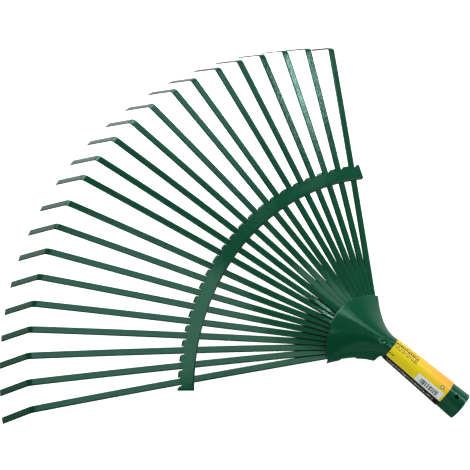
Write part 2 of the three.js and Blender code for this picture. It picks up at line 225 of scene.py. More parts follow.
class RakeColours(bpy.types.PropertyGroup):
    enamel: tint("Enamel", "Green of the enamel away from the painted shade", "#0a4831")
    # Near-black green of the painted shade on the tines' edges, the bar's inner edge and the hub's foot
    painted_shade_green: tint("Painted edge shade", "Near-black green of the painted shade on edges", "#01120b")
    label_yellow: tint("Label yellow", "Ground colour of the label", "#ffe010")
    label_orange: tint("Label orange", "Colour that the label fades to", "#ff9a30")
    label_black: tint("Label black", "Colour of the band and the marks", "#14120e")
    label_white: tint("Label white", "Colour of the blank panel", "#fbfdfc")
    label_green: tint("Label green", "Colour of the round mark", "#1f5a34")
    floor: tint("Floor", "Colour of the floor", "#f4f4f2")


class RakeStage(bpy.types.PropertyGroup):
    azimuth: FloatProperty(
        name="Azimuth", description="Where the camera stands", default=radians(-139.741), subtype="ANGLE"
    )
    elevation: FloatProperty(
        name="Elevation", description="Camera height angle", default=radians(60.907), subtype="ANGLE"
    )
    roll: FloatProperty(
        name="Roll", description="Turn about the line of sight", default=radians(4.878), subtype="ANGLE"
    )
    distance: length("Distance", "From the aim point to the camera", 2143.2)
    aim: FloatVectorProperty(
        name="Aim",
        description="Point on the line of sight",
        default=(0.0421, -0.00673, 0.0656),
        subtype="TRANSLATION",
    )
    lens: FloatProperty(name="Lens", description="Focal length in millimetres", default=168.8, min=1)


# ---- Frames -------------------------------------------------------------------------------------

SOCKET_AXIS = np.array([-cos(SOCKET_SLOPE), 0, -sin(SOCKET_SLOPE)])
SOCKET_UP = np.array([-sin(SOCKET_SLOPE), 0, cos(SOCKET_SLOPE)])


def smoothstep(x, start, end):
    share = np.clip((x - start) / (end - start), 0, 1)
    return share * share * (3 - 2 * share)


def unit(vectors):
    return vectors / np.linalg.norm(vectors, axis=-1, keepdims=True)


def spread(*parts):
    """Coordinates stacked as points, each broadcast to the same shape."""
    return np.stack(np.broadcast_arrays(*parts), axis=-1).astype(float)


def socket_point(share, turn, offset=0.0):
    """A slightly flared tube: the radius grows evenly with share from the neck (0) to the mouth (1),
    and turn goes round it from its top line."""
    distance = NECK_DISTANCE + (SOCKET_LENGTH - NECK_DISTANCE) * share
    radius = NECK_RADIUS + (MOUTH_RADIUS - NECK_RADIUS) * share + offset
    sideways = spread(0, radius * np.sin(turn), SOCKET_HEIGHT)
    return sideways + np.multiply.outer(distance + 0 * turn, SOCKET_AXIS) + np.multiply.outer(
        radius * np.cos(turn), SOCKET_UP
    )


def head_place():
    """Rotation and shift from the head's frame to the row frame. The record's mount is the top of the
    socket's sheet at its mouth, and faces along the socket."""
    mount = next(m for m in frame["record"]["mounts"] if m["name"] == "socket_mouth")
    tip = atan2(-mount["axis"][2], -mount["axis"][0]) - SOCKET_SLOPE
    turn = np.array([[cos(tip), 0, -sin(tip)], [0, 1, 0], [sin(tip), 0, cos(tip)]])
    top_of_mouth = socket_point(1.0, np.float64(0.0))
    return turn, np.array(mount["pos_m"]) / MM - turn @ top_of_mouth


HEAD_TURN, HEAD_SHIFT = head_place()


def to_row(points):
    return (points @ HEAD_TURN.T + HEAD_SHIFT) * MM


def in_head(piece):
    """A piece's points in the head's own frame."""
    points = np.empty(3 * len(piece.data.vertices), np.float32)
    piece.data.vertices.foreach_get("co", points)
    return (points.reshape(-1, 3) / MM - HEAD_SHIFT) @ HEAD_TURN


def fan_point(radius, azimuth):
    """A flat cone that falls more steeply with the square of the azimuth, on a bow that falls with
    the square of the distance."""
    drop = CONE_DROP * azimuth**2
    flat = radius * np.cos(drop)
    fall = radius * np.sin(drop) + ROOT_DROP * azimuth**2 + BOW * (radius / REACH) ** 2
    return spread(flat * np.cos(azimuth), flat * np.sin(azimuth), -fall)


def side_slope(radius, azimuth):
    return 2 * azimuth * (CONE_DROP + ROOT_DROP / radius)


# ---- Meshes -------------------------------------------------------------------------------------


def show_piece(name, points, faces, slot, material, *nodes):
    """Puts a mesh in the row frame, rides it on the head and lets it stand for CAD nodes."""
    mesh = bpy.data.meshes.new(name)
    mesh.from_pydata(to_row(points), [], faces)
    if mesh.validate():
        raise RuntimeError(f"{name} has faces that can't be kept")
    mesh.shade_smooth()
    mesh.materials.append(material)
    piece = bpy.data.objects.new(name, mesh)
    bpy.context.scene.collection.objects.link(piece)
    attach(piece, "root")
    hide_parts(*nodes)
    return piece


def grid_quads(rows, columns):
    """Corner numbers of the quads of a grid, facing along (down the rows) x (along the columns)."""
    corner = (np.arange(rows - 1)[:, None] * columns + np.arange(columns - 1)).ravel()
    return np.stack([corner, corner + columns, corner + columns + 1, corner + 1], axis=1)


def bunched(start, end, count, edge):
    """Even values with three more near each end, spaced as the cosine of a quarter round of size edge."""
    round_off = edge * (1 - np.cos(np.radians([0, 30, 60, 90])))
    middle = np.linspace(start + edge, end - edge, count)
    return np.concatenate([start + round_off[:-1], middle, (end - round_off[:-1])[::-1]])


def edge_distance(points):
    """Distance of each point of a grid from the nearer end of its column, along the column."""
    step = np.linalg.norm(np.diff(points, axis=0), axis=-1)
    run = np.concatenate([np.zeros((1, points.shape[1])), np.cumsum(step, axis=0)])
    return np.minimum(run, run[-1] - run)


def sheet_mesh(middle, thickness):
    """Sheet on both sides of a grid of middle points. Each side stands off by half the thickness along
    the grid's normal, and less near the edges, so that the edges close in a half round."""
    half = thickness / 2
    normal = unit(np.cross(np.gradient(middle, axis=0), np.gradient(middle, axis=1)))
    from_ends = np.clip(edge_distance(middle) / half, 0, 1)
    from_sides = np.clip(edge_distance(middle.swapaxes(0, 1)).T / half, 0, 1)
    stand_off = half * np.sqrt((1 - (1 - from_ends) ** 2) * (1 - (1 - from_sides) ** 2))
    upper = middle + normal * stand_off[..., None]
    lower = middle - normal * stand_off[..., None]
    rows, columns = middle.shape[:2]
    number = np.arange(rows * columns).reshape(rows, columns)
    below = number + rows * columns
    for edge in (np.s_[0, :], np.s_[-1, :], np.s_[:, 0], np.s_[:, -1]):
        below[edge] = number[edge]
    quads = grid_quads(rows, columns)
    faces = np.concatenate([quads, below.ravel()[quads[:, ::-1]]])
    points = np.concatenate([upper.reshape(-1, 3), lower.reshape(-1, 3)])
    used, renumbered = np.unique(faces, return_inverse=True)
    return points[used], renumbered.reshape(faces.shape), used


def joined(meshes):
    """Several (points, faces) as one."""
    starts = np.cumsum([0] + [len(points) for points, _ in meshes[:-1]])
    points = np.concatenate([points for points, _ in meshes])
    return points, [list(face) for start, (_, faces) in zip(starts, meshes) for face in faces + start]


def write_values(piece, name, kind, values):
    """A value at each point of a piece, for its material."""
    key = {"FLOAT": "value", "FLOAT_VECTOR": "vector"}[kind]
    layer = piece.data.attributes.new(name, kind, "POINT")
    layer.data.foreach_set(key, np.asarray(values, np.float32).ravel())


# ---- Materials ----------------------------------------------------------------------------------


def add(material, kind, settings=None, **links):
    """Adds a node, sets its properties and sockets, and links its sockets from others' outputs. A whole
    number, or _ and one, is a socket by its place: 1 to 4 are a Map Range's from and to limits, and 6
    and 7 a Mix's colours."""
    tree = material.node_tree
    node = tree.nodes.new(kind)
    for key, value in (settings or {}).items():
        if isinstance(key, int) or key in node.inputs:
            node.inputs[key].default_value = value
        else:
            setattr(node, key, value)
    for key, source in links.items():
        socket = int(key[1:]) if key[0] == "_" else key.replace("_", " ")
        tree.links.new(source, node.inputs[socket])
    return node


def new_material(name, **shader_settings):
    """A material with one Principled shader, and that shader."""
    material = bpy.data.materials.new(name)
    material.use_nodes = True
    shader = next(n for n in material.node_tree.nodes if n.type == "BSDF_PRINCIPLED")
    for key, value in shader_settings.items():
        shader.inputs[key.replace("_", " ")].default_value = value
    return material, shader


def link(material, output, socket):
    material.node_tree.links.new(output, socket)


def enamel(name="stoved_green_enamel"):
    """Stoving enamel on spring steel, dipped and baked: a glossy skin with a faint orange peel and soft
    drifts of tone where it pooled. Its edges are darkened towards near-black green as painted shade."""
    colours = bpy.context.scene.rake_colours
    # The pigment tints even the shine of the thin skin.
    material, shader = new_material(name, IOR=1.5, Metallic=0.0, Specular_Tint=(0.58, 1.0, 0.88, 1.0))
    place = add(material, "ShaderNodeTexCoord")
    place = place.outputs["Object"]
    drift = add(material, "ShaderNodeTexNoise", {"Scale": 1 / (22 * MM), "Detail": 3.0}, Vector=place)
    # Painted shade: the 'edge' value mixes in a near-black green where edges and the hub's foot lie in
    # shade
    edge = add(material, "ShaderNodeAttribute", {"attribute_name": "edge"})
    shades = {1: 0.3, 2: 0.7, 3: 0.93, 4: 1.07}
    pooled = add(material, "ShaderNodeMapRange", shades, _0=drift.outputs["Fac"])
    even_green = add(
        material,
        "ShaderNodeVectorMath",
        {"operation": "SCALE", 0: colours.enamel},
        Scale=pooled.outputs["Result"],
    )
    edge_shaded = add(
        material,
        "ShaderNodeMix",
        {"data_type": "RGBA", 7: (*colours.painted_shade_green, 1.0)},
        _0=edge.outputs["Fac"],
        _6=even_green.outputs["Vector"],
    )
    link(material, edge_shaded.outputs[2], shader.inputs["Base Color"])
    gloss = add(material, "ShaderNodeTexNoise", {"Scale": 1 / (9 * MM), "Detail": 2.0}, Vector=place)
    polish = {1: 0.3, 2: 0.7, 3: 0.09, 4: 0.17}
    rough = add(material, "ShaderNodeMapRange", polish, _0=gloss.outputs["Fac"])
    link(material, rough.outputs["Result"], shader.inputs["Roughness"])
    # Orange peel is about 1 mm across on such enamel, and is drawn at 2 mm to show.
    peel = add(material, "ShaderNodeTexNoise", {"Scale": 1 / (2.0 * MM), "Detail": 2.0}, Vector=place)
    dimples = {"Strength": 0.8, "Distance": 0.09 * MM}
    bump = add(material, "ShaderNodeBump", dimples, Height=peel.outputs["Fac"])
    link(material, bump.outputs["Normal"], shader.inputs["Normal"])
    return material


def shared(maker):
    """The material that a maker makes, made once."""
    name = maker.__defaults__[0]
    return bpy.data.materials.get(name) or maker(name)


# ---- Tines --------------------------------------------------------------------------------------


def tine_azimuths():
    """Azimuths of all tines in order, the fan's middle at zero."""
    gaps = [UNEVEN_GAPS.get(k, INNER_GAP if k in INNER_GAPS else OUTER_GAP) for k in range(1, TINE_COUNT)]
    azimuths = np.radians(np.concatenate([[0], np.cumsum(gaps)]))
    return azimuths - azimuths[-1] / 2


def tine_slope(tine, radius, azimuth):
    """Sideways slope of a tine: the fan's, turned back towards level where neighbours overlap."""
    outer_slope = side_slope(REACH, azimuth)
    overlap = 1 - smoothstep(radius, SHINGLE_END, TWIST_END)
    if tine == TOP_TINE:
        return -outer_slope + 0 * radius
    side = 1 if tine > TOP_TINE else -1
    shingle = overlap * SHINGLE_STEP / (radius * radians(INNER_GAP))
    return side * shingle - outer_slope + overlap * (outer_slope - side_slope(radius, azimuth))


def tine_lift(tine, radius, width):
    if tine != TOP_TINE:
        return 0 * radius
    overlap = 1 - smoothstep(radius, SHINGLE_END, TWIST_END)
    return overlap * SHINGLE_STEP / (radius * radians(INNER_GAP)) * width / 2 + TOP_TINE_CLEARANCE


def tine_rings(tine, azimuth, width, thickness, shoulder):
    """Rings of a flat strip: straight out over the fan, round an arc and straight on to the tip. A ring
    is two flat faces joined by two half ellipses, as long as the shoulder. Also gives how much painted
    edge shade each point takes, from 0 to 1."""
    corner = REACH + REACH_GROWTH * azimuth**2
    setback = TIP_BEND_RADIUS * tan(TIP_BEND / 2)
    bend_start = corner - setback
    bend_end = bend_start + TIP_BEND * TIP_BEND_RADIUS
    end = bend_end + TIP_LENGTH - setback
    round_off = END_ROUND * (1 - np.cos(np.radians([0, 45, 90])))
    along_strip = np.concatenate(
        [
            TINE_ROOT + round_off[:-1],
            np.linspace(TINE_ROOT + round_off[-1], bend_start, TINE_STEPS[0])[:-1],
            np.linspace(bend_start, bend_end, TINE_STEPS[1])[:-1],
            np.linspace(bend_end, end - round_off[-1], TINE_STEPS[2]),
            end - round_off[-2::-1],
        ]
    )
    radius = np.minimum(along_strip, bend_start)
    origin = fan_point(radius, azimuth)
    origin[:, 2] += tine_lift(tine, radius, width)
    along = unit(fan_point(radius + 1, azimuth) - fan_point(radius - 1, azimuth))
    across = spread(-sin(azimuth), cos(azimuth), tine_slope(tine, radius, azimuth))
    across = unit(across - along * np.sum(along * across, axis=1, keepdims=True))
    up = np.cross(along, across)
    beyond = along_strip - radius
    angle = np.minimum(beyond / TIP_BEND_RADIUS, TIP_BEND)
    straight = beyond - angle * TIP_BEND_RADIUS
    forward = TIP_BEND_RADIUS * np.sin(angle) + straight * np.cos(angle)
    down = TIP_BEND_RADIUS * (1 - np.cos(angle)) + straight * np.sin(angle)
    centre = origin + along * forward[:, None] - up * down[:, None]
    face = up * np.cos(angle)[:, None] + along * np.sin(angle)[:, None]

    from_end = np.minimum(along_strip - TINE_ROOT, end - along_strip)
    closing = 0.5 + 0.5 * np.sqrt(1 - (1 - np.clip(from_end / round_off[-1], 0, 1)) ** 2)
    narrow = TANG_WIDTH + (width - TANG_WIDTH) * smoothstep(radius, TINE_ROOT, TANG_END)
    half_width = narrow / 2 - (1 - closing) * round_off[-1]
    half_turn = np.concatenate([[-90], np.linspace(-90, 90, SHOULDER_STEPS), [90]])
    turn = np.radians(np.concatenate([half_turn, half_turn + 180]))
    flat = half_width[:, None] - shoulder
    side = np.where(np.arange(turn.size) < turn.size // 2, 1, -1)
    inset = np.tile([FLAT_INSET, *np.zeros(SHOULDER_STEPS), FLAT_INSET], 2)
    sideways = side * (flat - inset) + shoulder * np.cos(turn)
    upward = closing[:, None] * thickness / 2 * np.sin(turn)
    rings = centre[:, None] + across[:, None] * sideways[..., None] + face[:, None] * upward[..., None]
    # Painted shade: the edge on the +Y side, turned from the key lamps, is darkened in full, and the
    # other edge by half where the tines stop overlapping, away from the hub.
    out = smoothstep(np.abs(sideways) / half_width[:, None], EDGE_SHADE_FROM, EDGE_SHADE_TO)
    return rings, out * np.where(side > 0, 1, 0.5 * smoothstep(radius, SHINGLE_END, TWIST_END)[:, None])


def strip_faces(rows, columns):
    """Quads round a strip of rings, and a flat face at each end."""
    ring = np.arange(rows * columns).reshape(rows, columns)
    ahead = np.roll(ring, -1, axis=1)
    quads = np.stack([ring[:-1], ahead[:-1], ahead[1:], ring[1:]], axis=-1).reshape(-1, 4)
    return [list(quad) for quad in quads] + [list(ring[0][::-1]), list(ring[-1])]


class RAKE_OT_tines(bpy.types.Operator):
    """Build the flat spring tines"""

    bl_idname = "rake.tines"
    bl_label = "Tines"

    def execute(self, context):
        sizes = context.scene.rake_sizes
        width, thickness = sizes.tine_width / MM, sizes.tine_thickness / MM
        for index, azimuth in enumerate(tine_azimuths()):
            rings, edge = tine_rings(index + 1, azimuth, width, thickness, sizes.tine_shoulder / MM)
            name = f"spring_tine_{index + 1:02d}"
            faces = strip_faces(*rings.shape[:2])
            piece = show_piece(
                name, rings.reshape(-1, 3), faces, "green_enamel", shared(enamel), f"tine_{index + 1:02d}"
            )
            write_values(piece, "edge", "FLOAT", edge)
        return {"FINISHED"}


# ---- Spacer bar ---------------------------------------------------------------------------------


def bar_place(bar_radius, angle):
    """The fan surface under a point of the bar, given about the bar's own centre."""
    x = BAR_CENTRE_X + bar_radius * np.cos(angle)
    y = bar_radius * np.sin(angle)
    return fan_point(np.hypot(x, y), np.arctan2(y, x))


def bar_surface(angle, w, sheet):
    """A strip folded on itself: w runs from the lower inner edge (-1) round the fold (0) to the upper
    inner edge (1), and the fold is a half round."""
    fold_centre = BAR_OUTER - BAR_FOLD - sheet / 2
    half_fold = pi / 2 * BAR_FOLD
    from_fold = np.abs(w) * (fold_centre - BAR_INNER + half_fold)
    turn = np.minimum(from_fold / BAR_FOLD, pi / 2)
    inward = np.maximum(from_fold - half_fold, 0)
    bar_radius = fold_centre + BAR_FOLD * np.cos(turn) - inward
    height = np.sign(w) * BAR_FOLD * np.sin(turn)
    step = 0.5
    outward = bar_place(bar_radius + step, angle) - bar_place(bar_radius - step, angle)
    turned = step / bar_radius
    sideways = bar_place(bar_radius, angle + turned) - bar_place(bar_radius, angle - turned)
    up = unit(np.cross(outward, sideways))
    return bar_place(bar_radius, angle) + up * height[..., None]


def window_block(azimuth):
    """Block that cuts a tine's window out of the fold: rounded in its corners, and flared in a quarter
    round at the lips of the teeth."""
    half = WINDOW_WIDTH / 2
    turn = np.radians(np.linspace(90, 180, 6))
    corner = [0, half] + WINDOW_CORNER * np.stack([1 + np.cos(turn), np.sin(turn) - 1], axis=1)
    quarter = np.stack([-np.cos(turn), -np.sin(turn)], axis=1)
    lip = [WINDOW_DEPTH - TOOTH_ROUND, half + TOOTH_ROUND] + TOOTH_ROUND * quarter
    flare = np.concatenate([[[WINDOW_CUT, half + TOOTH_ROUND]], lip[::-1], corner])
    outline = np.concatenate([flare[::-1] * [1, -1], flare])
    side_shift = -BAR_CENTRE_X * sin(azimuth)
    distance = sqrt(BAR_OUTER**2 - side_shift**2) + BAR_CENTRE_X * cos(azimuth)
    forward = np.array([cos(azimuth), sin(azimuth), 0])
    across = np.array([-sin(azimuth), cos(azimuth), -side_slope(distance, azimuth)])
    up = unit(np.cross(forward, across))
    across = np.cross(up, forward)
    start = fan_point(distance, azimuth) - forward * WINDOW_DEPTH
    flat = start + outline[:, :1] * forward + outline[:, 1:] * across
    count = len(outline)
    points = np.concatenate([flat - up * WINDOW_CUT / 2, flat + up * WINDOW_CUT / 2])
    here = np.arange(count)
    ahead = np.roll(here, -1)
    sides = np.stack([here, ahead, ahead + count, here + count], axis=1)
    return points, sides, [list(here[::-1]), list(here + count)]


def cut(piece, points, faces, operation="DIFFERENCE"):
    """Cuts a block out of a piece, or joins it on, and keeps the result as the piece's own mesh."""
    mesh = bpy.data.meshes.new("cutter")
    mesh.from_pydata(to_row(points), [], faces)
    cutter = bpy.data.objects.new("cutter", mesh)
    bpy.context.scene.collection.objects.link(cutter)
    modifier = piece.modifiers.new("cut", "BOOLEAN")
    modifier.object = cutter
    modifier.operation = operation
    modifier.solver = "EXACT"
    bpy.context.view_layer.update()
    depsgraph = bpy.context.evaluated_depsgraph_get()
    result = bpy.data.meshes.new_from_object(piece.evaluated_get(depsgraph))
    piece.modifiers.clear()
    piece.data = result
    result.name = piece.name
    bpy.data.objects.remove(cutter)
    result.set_sharp_from_angle(angle=SHARP_ANGLE)


class RAKE_OT_spacer_bar(bpy.types.Operator):
    """Build the folded spacer bar with its windows"""

    bl_idname = "rake.spacer_bar"
    bl_label = "Spacer Bar"

    def execute(self, context):
        sheet = context.scene.rake_sizes.bar_sheet / MM
        angle = bunched(-BAR_HALF_ANGLE, BAR_HALF_ANGLE, BAR_STEPS[0], sheet / 2 / BAR_OUTER)
        leaf = BAR_OUTER - BAR_FOLD - sheet / 2 - BAR_INNER
        run = leaf + pi / 2 * BAR_FOLD
        fold = pi / 2 * BAR_FOLD / run
        folds = np.linspace(-fold, fold, BAR_STEPS[2])
        ends = bunched(-1, 1, BAR_STEPS[1], sheet / 2 / run)
        w = np.sort(np.concatenate([ends[np.abs(ends) > fold * 1.1], folds]))
        middle = bar_surface(angle[:, None], w[None, :], sheet)
        points, faces, _ = sheet_mesh(middle, sheet)
        piece = show_piece(
            "folded_spacer_bar", points, faces.tolist(), "green_enamel", shared(enamel), "spacer_bar"
        )
        blocks = [window_block(azimuth) for azimuth in tine_azimuths()]
        starts = np.cumsum([0] + [len(block[0]) for block in blocks[:-1]])
        block_points = np.concatenate([block[0] for block in blocks])
        block_faces = [
            [int(number) + int(start) for number in face]
            for start, (_, sides, caps) in zip(starts, blocks)
            for face in [*sides, *caps]
        ]
        cut(piece, block_points, block_faces)
        # Painted shade along the bar's inner edge, where the sheet's thickness lies in shadow
        points = in_head(piece)
        bar_radius = np.hypot(points[:, 0] - BAR_CENTRE_X, points[:, 1])
        write_values(piece, "edge", "FLOAT", 1 - smoothstep(bar_radius - BAR_INNER, *BAR_EDGE_SHADE))
        return {"FINISHED"}


# ---- Hub and socket -----------------------------------------------------------------------------


def rim_point(share):
    """The rim: an arc about the fan's origin, a little longer at its corners, lifted off the fan."""
    azimuth = RIM_HALF_ANGLE * share
    radius = RIM_RADIUS + RIM_GROWTH * share**2
    height = fan_point(radius, azimuth)[..., 2] + RIM_LIFT
    return spread(radius * np.cos(azimuth), radius * np.sin(azimuth), height)


def plate_height(share):
    """The plate follows the undersides of the tines; share is its half width's."""
    return -PLATE_DROP - PLATE_ARCH * share**2


def foot_height(v):
    """Height of the foot of the hub's sides: level at the tabs and notched between them."""
    notch_from, notch_to = TABS[0][1], TABS[1][0]
    into = smoothstep(v, notch_from, notch_from + NOTCH_RAMP)
    notch = into - smoothstep(v, notch_to - NOTCH_RAMP, notch_to)
    return plate_height(1) - TAB_STEP + NOTCH_DEPTH * notch


def crown(v, turn):
    """Upper part of the hub: the socket's upper half blends into the rim, v from 0 to 1, with sides
    that flare by a power of v and a middle that sharpens into a ridge."""
    neck = socket_point(0.0, turn)
    rim = rim_point(np.sin(turn))
    sharpening = RIDGE_SHARPNESS * v * (1 - v)
    tent = 1 - np.hypot(np.sin(turn), RIDGE_ROUNDING) + RIDGE_ROUNDING
    x = neck[..., 0] + (rim[..., 0] - neck[..., 0]) * v
    y = neck[..., 1] + (rim[..., 1] - neck[..., 1]) * v**FLARE_POWER
    z = neck[..., 2] + (rim[..., 2] - neck[..., 2]) * v**CREST_POWER + sharpening * (tent - np.cos(turn))
    return spread(x, y, z)


def dimple(v, turn):
    """A small round dent in the ridge by the neck: a bell curve of v and turn."""
    ahead = (v - DIMPLE_PLACE[0]) / DIMPLE_SIZE[0]
    sideways = (turn - DIMPLE_PLACE[1]) / DIMPLE_SIZE[1]
    return np.exp(-(ahead**2) - sideways**2)


def flank(v, turn):
    """Lower part: the socket's underside opens along its seam and unrolls into the sides."""
    side = crown(v, np.sign(turn) * pi / 2)
    neck = socket_point(0.0, turn)
    rolled = 1 - smoothstep(v, 0, UNROLL_END)
    bottom = foot_height(v)
    bottom = bottom + (socket_point(0.0, np.float64(pi))[2] - bottom) * rolled
    x = side[..., 0] + (neck[..., 0] - socket_point(0.0, np.float64(pi / 2))[0]) * rolled
    y = side[..., 1] * (1 - (1 - np.abs(np.sin(turn))) * rolled)
    z = side[..., 2] + (bottom - side[..., 2]) * np.abs(np.cos(turn))
    return spread(x, y, z)


def hub_surface(v, turn):
    """The whole pressed sheet: v runs from the mouth (-1) by the neck (0) to the rim (1)."""
    ahead = np.maximum(v, 0)
    hub = np.where((np.abs(turn) <= pi / 2)[..., None], crown(ahead, turn), flank(ahead, turn))
    return np.where((v < 0)[..., None], socket_point(np.maximum(-v, 0), turn), hub)


def tab_mesh(side, ends):
    """A flat tab folded in under the plate from the foot of the hub's side."""
    v = bunched(*ends, TAB_STEPS[0], PLATE_EDGES)[:, None]
    w = bunched(0, 1, TAB_STEPS[1], PLATE_SHEET / 2 / TAB_REACH)[None, :]
    foot = flank(v, side * pi + 0 * v)
    foot = np.repeat(foot, w.size, axis=1)
    foot[..., 1] -= side * (w * TAB_REACH - HUB_SHEET / 2 + TAB_ROOT)
    grid = foot if side > 0 else foot[:, ::-1]
    points, faces, _ = sheet_mesh(grid, PLATE_SHEET)
    return points, faces


def drill_block():
    """Round peg for the screw hole in the top of the socket."""
    turn = np.linspace(0, 2 * pi, 32, endpoint=False)
    share = 1 - SCREW_HOLE_FROM_MOUTH / (SOCKET_LENGTH - NECK_DISTANCE)
    centre = socket_point(share, np.float64(0.0))
    ring = SCREW_HOLE_RADIUS * (np.outer(np.cos(turn), [0, 1, 0]) + np.outer(np.sin(turn), SOCKET_AXIS))
    points = np.concatenate([centre + ring - SOCKET_UP * 5, centre + ring + SOCKET_UP * 5])
    here = np.arange(turn.size)
    ahead = np.roll(here, -1)
    sides = np.stack([here, ahead, ahead + turn.size, here + turn.size], axis=1)
    return points, [list(map(int, face)) for face in [*sides, here[::-1], here + turn.size]]


class RAKE_OT_hub(bpy.types.Operator):
    """Build the pressed hub with its socket, tabs and screw hole"""

    bl_idname = "rake.hub"
    bl_label = "Hub"

    def execute(self, context):
        v = bunched(-1, 1, HUB_STEPS[0], HUB_EDGES[0])[:, None]
        end = pi - SEAM_HALF_GAP
        turn = bunched(-end, end, HUB_STEPS[1], HUB_EDGES[1])[None, :]
        turn = np.sort(np.concatenate([turn, [[-pi / 2, pi / 2]]], axis=1))
        v, turn = np.broadcast_arrays(v, turn)
        surface = hub_surface(v, turn)
        surface[..., 2] -= context.scene.rake_sizes.dimple_depth / MM * dimple(v, turn)
        points, faces, _ = sheet_mesh(surface, HUB_SHEET)
        piece = show_piece(
            "pressed_hub", points, faces.tolist(), "green_enamel", shared(enamel), "hub_shell"
        )
        tabs = joined([tab_mesh(side, ends) for ends in TABS for side in (1, -1)])
        cut(piece, *tabs, operation="UNION")
        cut(piece, *drill_block())
        # Painted shade on the foot of the hub's sides and on its tabs, which face down into shadow
        height = in_head(piece)[:, 2] - (plate_height(1) - TAB_STEP)
        write_values(piece, "edge", "FLOAT", 1 - smoothstep(height, *HUB_FOOT_SHADE))
        return {"FINISHED"}


class RAKE_OT_plate(bpy.types.Operator):
    """Build the plate that closes the hub from below"""

    bl_idname = "rake.plate"
    bl_label = "Hub Plate"

    def execute(self, context):
        v = bunched(PLATE_FROM, PLATE_TO, PLATE_STEPS[0], PLATE_EDGES)[:, None]
        share = bunched(-PLATE_EDGE, PLATE_EDGE, PLATE_STEPS[1], PLATE_EDGES)[None, :]
        v, share = np.broadcast_arrays(v, share)
        point = crown(v, np.arcsin(share))
        edge = crown(v, pi / 2 + 0 * v)[..., 1]
        middle = spread(point[..., 0], point[..., 1] * (1 - PLATE_SIDE_GAP / edge), plate_height(share))
        points, faces, _ = sheet_mesh(middle, PLATE_SHEET)
        show_piece("backing_plate", points, faces.tolist(), "green_enamel", shared(enamel), "hub_plate")
        return {"FINISHED"}


# ---- Label --------------------------------------------------------------------------------------


def label_paper(name="printed_gloss_paper"):
    """Coated paper, offset printed: bright flat inks under a thin gloss. The print is laid out in mm, x
    along the socket from the neck and y round it from its top line; dashes stand for lettering."""
    colours = bpy.context.scene.rake_colours
    material, shader = new_material(name, Roughness=0.32, IOR=1.5)
    place = add(material, "ShaderNodeAttribute", {"attribute_name": "print_place"})
    axes = add(material, "ShaderNodeSeparateXYZ", Vector=place.outputs["Vector"])
    along, around = axes.outputs["X"], axes.outputs["Y"]

    def patch(x_from, x_to, y_from, y_to, softness=0.15):
        """1 inside a rectangle and 0 outside: the product of how far inside its two spans a point is."""
        inside = []
        for value, start, end in ((along, x_from, x_to), (around, y_from, y_to)):
            middle, half = (start + end) / 2, (end - start) / 2
            shift = add(material, "ShaderNodeMath", {"operation": "SUBTRACT", 1: middle}, _0=value)
            far = add(material, "ShaderNodeMath", {"operation": "ABSOLUTE"}, _0=shift.outputs[0])
            span = {1: half + softness, 2: half - softness}
            inside.append(add(material, "ShaderNodeMapRange", span, _0=far.outputs[0]).outputs[0])
        both = add(material, "ShaderNodeMath", {"operation": "MULTIPLY"}, _0=inside[0], _1=inside[1])
        return both.outputs[0]

    def dashes(x_scale, y_scale, threshold, mask):
        """Broken marks: noise stretched by a scale each way and cut at a threshold, inside a mask."""
        scale = (1 / x_scale, 1 / y_scale, 0)
        stretch = add(material, "ShaderNodeMapping", {"Scale": scale}, Vector=place.outputs["Vector"])
        flat_noise = {"Scale": 1.0, "Detail": 0.0}
        noise = add(material, "ShaderNodeTexNoise", flat_noise, Vector=stretch.outputs["Vector"])
        limits = {1: threshold, 2: threshold + 0.05}
        marks = add(material, "ShaderNodeMapRange", limits, _0=noise.outputs["Fac"]).outputs[0]
        return add(material, "ShaderNodeMath", {"operation": "MULTIPLY"}, _0=marks, _1=mask).outputs[0]

    def over(ink, mask, tone):
        """Prints a tone over the ink so far."""
        mix = add(material, "ShaderNodeMix", {"data_type": "RGBA", 7: (*tone, 1)}, _0=mask, _6=ink)
        return mix.outputs[2]

    lean = add(material, "ShaderNodeMath", {"operation": "MULTIPLY", 1: FADE_LEAN}, _0=along)
    shade = add(material, "ShaderNodeMath", {"operation": "SUBTRACT"}, _0=lean.outputs[0], _1=around)
    fade = add(material, "ShaderNodeMapRange", {1: FADE_FROM, 2: FADE_TO}, _0=shade.outputs[0])
    ground = add(
        material,
        "ShaderNodeMix",
        {"data_type": "RGBA", 6: (*colours.label_yellow, 1), 7: (*colours.label_orange, 1)},
        _0=fade.outputs[0],
    )
    ink = ground.outputs[2]
    for top, bottom, threshold in TEXT_ROWS:
        ink = over(ink, dashes(1.0, 1.6, threshold, patch(*TEXT_SPAN, top, bottom)), colours.label_black)
    ink = over(ink, dashes(1.4, 3.0, 0.45, patch(*SMALL_MARKS)), colours.label_black)
    ink = over(ink, patch(*PANEL), colours.label_white)
    ink = over(ink, dashes(1.0, 400.0, 0.47, patch(*BARS)), colours.label_black)
    ink = over(ink, patch(-BAND_END, BAND_END, *BAND), colours.label_black)
    ink = over(ink, dashes(0.8, 1.2, 0.56, patch(*BAND_MARKS)), colours.label_white)
    disc = add(
        material,
        "ShaderNodeVectorMath",
        {"operation": "DISTANCE", 1: (*ROUND_MARK, 0)},
        _0=place.outputs["Vector"],
    )
    centre_radius = ROUND_MARK_RADIUS * 0.55
    for size, tone in ((ROUND_MARK_RADIUS, colours.label_green), (centre_radius, colours.label_white)):
        limits = {1: size + 0.15, 2: size - 0.15}
        ring = add(material, "ShaderNodeMapRange", limits, _0=disc.outputs["Value"])
        ink = over(ink, ring.outputs[0], tone)
    link(material, ink, shader.inputs["Base Color"])
    wide_noise = {"Scale": 1 / 7.0, "Detail": 1.0}
    creases = add(material, "ShaderNodeTexNoise", wide_noise, Vector=place.outputs["Vector"])
    soft_bump = {"Strength": 0.35, "Distance": 0.4 * MM}
    bump = add(material, "ShaderNodeBump", soft_bump, Height=creases.outputs["Fac"])
    link(material, bump.outputs["Normal"], shader.inputs["Normal"])
    return material


